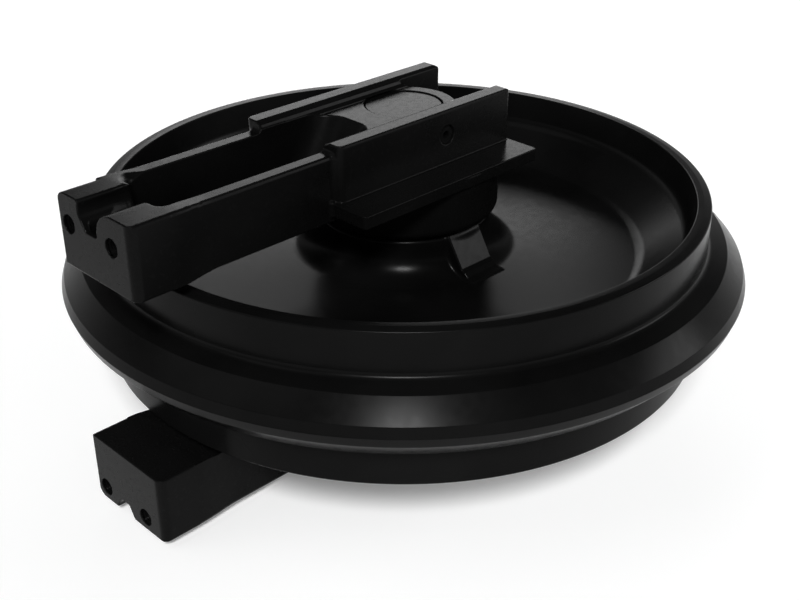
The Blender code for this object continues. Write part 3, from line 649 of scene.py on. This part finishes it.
# Wheel
half = [
    (HUB_BORE_RADIUS, BUSH_SEAT, 0),
    (BUSH_POCKET_RADIUS, BUSH_SEAT, 0),
    (BUSH_POCKET_RADIUS, SEAL_SHELF, 0),
    (SEAL_POCKET_RADIUS, SEAL_SHELF, 0),
    (SEAL_POCKET_RADIUS, HUB_HALF_WIDTH, 0),
    (HUB_RADIUS, HUB_HALF_WIDTH, 3),
    (HUB_RADIUS, WEB_HALF_THICKNESS, HUB_FOOT_ROUND),
    (SLOPE_START_RADIUS, WEB_HALF_THICKNESS, 16),
    (RIM_INNER_RADIUS - DISH_DRAFT, WEB_HALF_THICKNESS + SLOPE_RISE, 14),
    (RIM_INNER_RADIUS, WHEEL_HALF_WIDTH, 1),
    (RIM_INNER_RADIUS + RIM_FLAT, WHEEL_HALF_WIDTH, 0.5),
    (TREAD_RADIUS, WHEEL_HALF_WIDTH - RIM_BEVEL_DROP, 1.6),
    (TREAD_RADIUS, BAND_HALF_WIDTH + BAND_RISE, 5),
    (BAND_RADIUS, BAND_HALF_WIDTH, 1.5),
    (CROWN_EDGE_RADIUS, CROWN_HALF_WIDTH, 2),
]
profile = rounded(half + [(FLANGE_RADIUS, 0, 0)] + [(r, -z, turn) for r, z, turn in reversed(half)])
points, faces = turned(profile)
make_object("wheel_casting", points, faces, "wheel", ["idler_wheel"], wheel_black)

HUB_FOOT = rounded([
    (FOOT_STRETCH[0], FOOT_LOW, 0),
    (FOOT_STRETCH[0], HUB_HALF_WIDTH, 0),
    (HUB_RADIUS, HUB_HALF_WIDTH, 3),
    (HUB_RADIUS, WEB_HALF_THICKNESS, HUB_FOOT_ROUND),
    (FOOT_STRETCH[1], WEB_HALF_THICKNESS, 0),
    (FOOT_STRETCH[1], FOOT_LOW, 0),
])
BOSS_OUTLINE = rounded(BOSS_SIDE)
# The grid encloses the boss by a millimetre on every side
boss_grid = [lines((low - 1, high + 1, BOSS_STEP)) for low, high in BOSS_SPACE]
points, faces, normals = surface(boss_field, boss_grid)
turn = np.array([[cos(BOSS_ANGLE), sin(BOSS_ANGLE), 0], [-sin(BOSS_ANGLE), cos(BOSS_ANGLE), 0],
                 [0, 0, 1]])
make_object("hub_boss", (points @ turn).tolist(), faces.tolist(), "wheel", ["idler_wheel"],
            wheel_black, (normals @ turn).tolist())

# Brackets
GRID = (
    lines((-298, -252, 1), (-252, -222, 2), (-222, -132, 8), (-132, -50, 1), (-50, 50, 0.9),
          (50, 82, 1)),
    lines((-82, -79, 0.5), (-79, -54, 4), (-54, 54, 0.9), (54, 79, 4), (79, 82, 0.5)),
    lines((29, 41, 2), (41, 55, 1), (55, 73, 3), (73, 97, 0.7), (97, 104, 1.5), (104, 140, 0.75)),
)
for name, kind in (("upper", UPPER), ("lower", LOWER)):
    side = kind["side"]
    points, faces, normals = surface(lambda x, y, z: casting_field(x, y, z, kind), GRID)
    points[:, 2] *= side
    normals[:, 2] *= side
    if side < 0:
        faces = faces[:, ::-1]
    make_object(name + "_casting", points.tolist(), faces.tolist(), "support_frame",
                [name + "_bracket"], cast_black, normals)
    for label, place in zip(("far", "near"), BOLT_PLACES):
        points, faces = thread(place, kind["bolt_height"] * side)
        make_object(name + "_" + label + "_thread", points, faces, "support_frame",
                    [name + "_bracket"], cast_black)

# Floor, a little brighter where the camera or a glossy face looks at it
FLOOR_REACH = 6
FLOOR_GLOW = 0.2
material, nodes, links = material_nodes("pale_floor")
shader = nodes["Principled BSDF"]
shader.inputs["Roughness"].default_value = 0.9
shader.inputs["Specular IOR Level"].default_value = 0
shader.inputs["Base Color"].default_value = (0.9, 0.9, 0.9, 1)
shader.inputs["Emission Color"].default_value = (1, 1, 1, 1)
path = nodes.new("ShaderNodeLightPath")
seen = path.outputs["Is Camera Ray"]
for kind_of_ray in ("Is Glossy Ray", "Is Transmission Ray"):
    either = nodes.new("ShaderNodeMath")
    either.operation = "MAXIMUM"
    links.new(seen, either.inputs[0])
    links.new(path.outputs[kind_of_ray], either.inputs[1])
    seen = either.outputs[0]
glow = nodes.new("ShaderNodeMath")
glow.operation = "MULTIPLY"
glow.inputs[1].default_value = FLOOR_GLOW
links.new(seen, glow.inputs[0])
links.new(glow.outputs[0], shader.inputs["Emission Strength"])
mesh = bpy.data.meshes.new("floor")
reach = FLOOR_REACH
mesh.from_pydata([(-reach, -reach, 0), (reach, -reach, 0), (reach, reach, 0), (-reach, reach, 0)],
                 [], [(0, 1, 2, 3)])
mesh.materials.append(material)
floor = bpy.data.objects.new("floor", mesh)
bpy.context.scene.collection.objects.link(floor)

# World, pale at the horizon and darker towards the zenith
world = bpy.data.worlds.new("studio")
world.use_nodes = True
nodes, links = world.node_tree.nodes, world.node_tree.links
coordinates = nodes.new("ShaderNodeTexCoord")
split = nodes.new("ShaderNodeSeparateXYZ")
links.new(coordinates.outputs["Generated"], split.inputs["Vector"])
height = nodes.new("ShaderNodeMapRange")
height.interpolation_type = "SMOOTHSTEP"
height.inputs["From Min"].default_value = 0.02
height.inputs["From Max"].default_value = 0.5
height.inputs["To Min"].default_value = 1.0
height.inputs["To Max"].default_value = 0.06
links.new(split.outputs["Z"], height.inputs["Value"])
links.new(height.outputs["Result"], nodes["Background"].inputs["Strength"])
nodes["Background"].inputs["Color"].default_value = (1, 1, 1, 1)
bpy.context.scene.world = world


LAMP_AIM_HEIGHT = 0.15
SUN_DISTANCE = 3


def aim(lamp, azimuth, elevation, distance):
    """Puts a lamp in a direction from the object and turns it towards the object."""
    azimuth, elevation = radians(azimuth), radians(elevation)
    away = Vector((cos(elevation) * cos(azimuth), cos(elevation) * sin(azimuth), sin(elevation)))
    lamp.location = away * distance + Vector((0, 0, LAMP_AIM_HEIGHT))
    lamp.rotation_euler = away.to_track_quat("Z", "Y").to_euler()
    bpy.context.scene.collection.objects.link(lamp)


def softbox(name, azimuth, elevation, distance, size, radiance):
    data = bpy.data.lights.new(name, "AREA")
    data.shape = "RECTANGLE"
    data.size, data.size_y = size
    data.energy = radiance * pi * size[0] * size[1]
    lamp = bpy.data.objects.new(name, data)
    lamp.visible_camera = False
    aim(lamp, azimuth, elevation, distance)


def key_lamp(name, azimuth, elevation, width, radiance):
    """Round lamp far away: width is how wide it looks, in degrees."""
    data = bpy.data.lights.new(name, "SUN")
    data.angle = radians(width)
    data.energy = radiance * pi * (radians(width) / 2) ** 2
    aim(bpy.data.objects.new(name, data), azimuth, elevation, SUN_DISTANCE)


key_lamp("key_lamp", azimuth=-135, elevation=45, width=13, radiance=72)
key_lamp("left_lamp", azimuth=150, elevation=50, width=40, radiance=0.8)
softbox("back_softbox", azimuth=48, elevation=22, distance=4, size=(1.9, 0.9), radiance=3.8)
softbox("right_softbox", azimuth=-44, elevation=20, distance=4, size=(1.6, 0.9), radiance=7)

# Camera at the photo's angle
data = bpy.data.cameras.new("camera")
data.lens = 54.5
data.sensor_width = 36
camera = bpy.data.objects.new("camera", data)
camera.location = (-0.6671, -0.6730, 0.608)
camera.rotation_euler = (radians(61.174), 0, radians(-44.7))
bpy.context.scene.collection.objects.link(camera)
bpy.context.scene.camera = camera
bpy.context.scene.view_settings.view_transform = "Standard"
